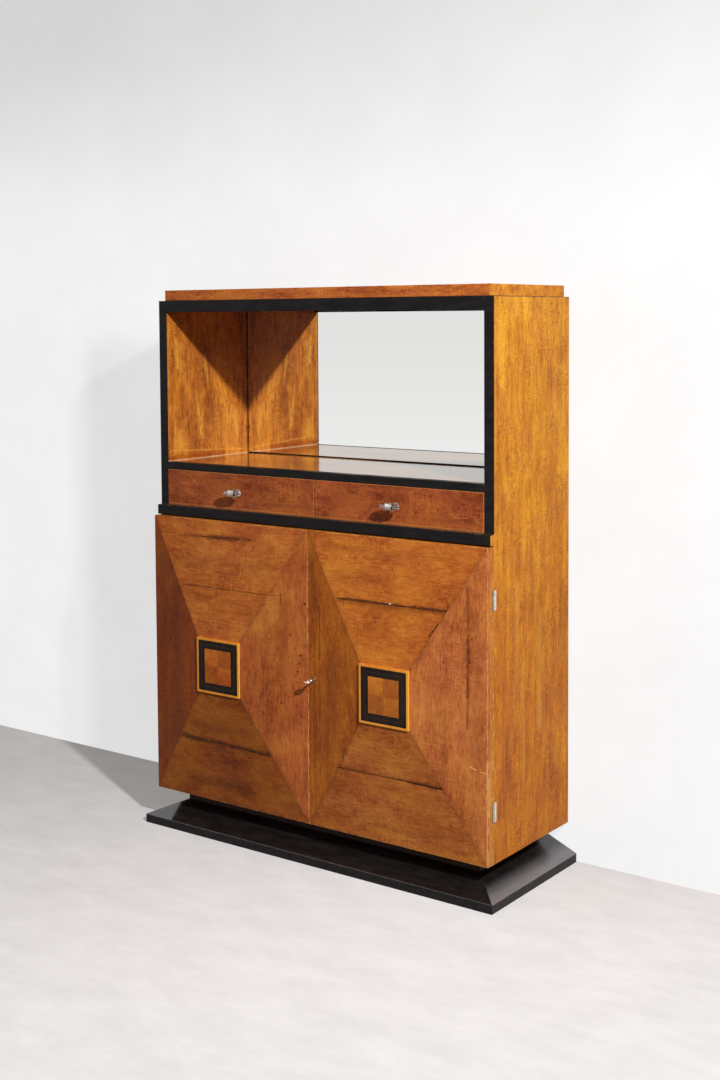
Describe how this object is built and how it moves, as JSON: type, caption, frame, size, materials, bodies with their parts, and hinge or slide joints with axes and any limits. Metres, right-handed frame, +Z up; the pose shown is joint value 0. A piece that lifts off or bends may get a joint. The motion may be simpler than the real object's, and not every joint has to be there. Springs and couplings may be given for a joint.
{
  "type": "bar cabinet",
  "caption": "Bar cabinet with an open mirrored niche, drawers and pyramid-faceted doors with square inlaid plaques on a black sloped plinth.",
  "frame": {"origin": "on the floor, at the middle of the underside of the plinth", "axes": "+Z up, +Y towards the back, -Y the front with the doors, +X to the right as seen from the front"},
  "size_m": [1.0488, 0.4144, 1.38],
  "materials": {
    "black_lacquer": "black lacquer, semi-gloss",
    "neck_wood": "dark brown stained wood, satin",
    "side_wood": "honey-coloured veneer with vertical grain, polished",
    "door_wood": "reddish-brown veneer, polished",
    "drawer_wood": "reddish-brown veneer, polished",
    "top_wood": "reddish-orange veneer, polished",
    "niche_wood": "golden-brown veneer, polished",
    "inside_wood": "plain veneer, satin",
    "plain_wood": "bare softwood, matt",
    "back_wood": "plywood, matt",
    "stringing_wood": "pale stringing, polished",
    "inlay_band_wood": "near-black inlay, polished",
    "light_square_wood": "light inlay, polished",
    "dark_square_wood": "dark inlay, polished",
    "mirror_glass": "silvered glass",
    "nickel": "nickel plate, slightly worn",
    "pull_glass": "clear glass"
  },
  "bodies": {
    "cabinet": {"plinth_slab": "black_lacquer", "plinth_front": "black_lacquer", "plinth_left": "black_lacquer", "plinth_right": "black_lacquer", "plinth_neck": "neck_wood", "side_panel_left": "side_wood", "side_panel_right": "side_wood", "stile_left": "black_lacquer", "stile_right": "black_lacquer", "top_rail": "black_lacquer", "shelf_rail": "black_lacquer", "waist_band": "black_lacquer", "top_panel": "top_wood", "niche_ceiling": "niche_wood", "niche_floor": "niche_wood", "mirror": "mirror_glass", "mirror_backing": "plain_wood", "back_panel": "back_wood", "drawer_deck": "plain_wood", "drawer_divider": "plain_wood", "cabinet_floor": "inside_wood", "lower_shelf": "inside_wood", "left_hinge_case_leaves": "nickel", "right_hinge_case_leaves": "nickel"},
    "left_door": {"left_door_core": "door_wood", "left_door_facet_top": "door_wood", "left_door_facet_right": "door_wood", "left_door_facet_bottom": "door_wood", "left_door_facet_left": "door_wood", "left_plaque_stringing": "stringing_wood", "left_plaque_band": "inlay_band_wood", "left_plaque_light_squares": "light_square_wood", "left_plaque_dark_squares": "dark_square_wood", "left_hinge_door_leaves": "nickel", "lock_strike": "nickel"},
    "right_door": {"right_door_core": "door_wood", "right_door_facet_top": "door_wood", "right_door_facet_right": "door_wood", "right_door_facet_bottom": "door_wood", "right_door_facet_left": "door_wood", "right_plaque_stringing": "stringing_wood", "right_plaque_band": "inlay_band_wood", "right_plaque_light_squares": "light_square_wood", "right_plaque_dark_squares": "dark_square_wood", "right_hinge_door_leaves": "nickel", "lock_case": "nickel", "escutcheon": "nickel"},
    "left_drawer": {"left_drawer_front": "drawer_wood", "left_drawer_box": "plain_wood", "left_drawer_bottom": "plain_wood", "left_pull_glass": "pull_glass", "left_pull_collar": "nickel"},
    "right_drawer": {"right_drawer_front": "drawer_wood", "right_drawer_box": "plain_wood", "right_drawer_bottom": "plain_wood", "right_pull_glass": "pull_glass", "right_pull_collar": "nickel"},
    "lock_bolt_body": {"lock_bolt": "nickel"},
    "key_body": {"key": "nickel"},
    "left_bolt_body": {"left_door_bolt": "nickel"}
  },
  "joints": [
    {"name": "left_door_hinge", "type": "hinge", "parent": "cabinet", "child": "left_door", "pos_m": [-0.5, -0.14935, 0.4477], "axis": [0, 0, -1], "range_deg": [0, 165]},
    {"name": "right_door_hinge", "type": "hinge", "parent": "cabinet", "child": "right_door", "pos_m": [0.5, -0.14935, 0.4477], "axis": [0, 0, 1], "range_deg": [0, 165]},
    {"name": "left_drawer_slide", "type": "slide", "parent": "cabinet", "child": "left_drawer", "axis": [0, -1, 0], "range_m": [0, 0.24]},
    {"name": "right_drawer_slide", "type": "slide", "parent": "cabinet", "child": "right_drawer", "axis": [0, -1, 0], "range_m": [0, 0.24]},
    {"name": "key_turn", "type": "hinge", "parent": "right_door", "child": "key_body", "pos_m": [0.02245, -0.14615, 0.448], "axis": [0, 1, 0], "range_deg": [0, 90]},
    {"name": "lock_bolt_slide", "type": "slide", "parent": "right_door", "child": "lock_bolt_body", "axis": [-1, 0, 0], "range_m": [0, 0.009]},
    {"name": "left_bolt_slide", "type": "slide", "parent": "left_door", "child": "left_bolt_body", "axis": [0, 0, 1], "range_m": [0, 0.01]}
  ],
  "couplings": [
    {"joint": "lock_bolt_slide", "follows": "key_turn", "m_per_rad": 0.0057296}
  ]
}
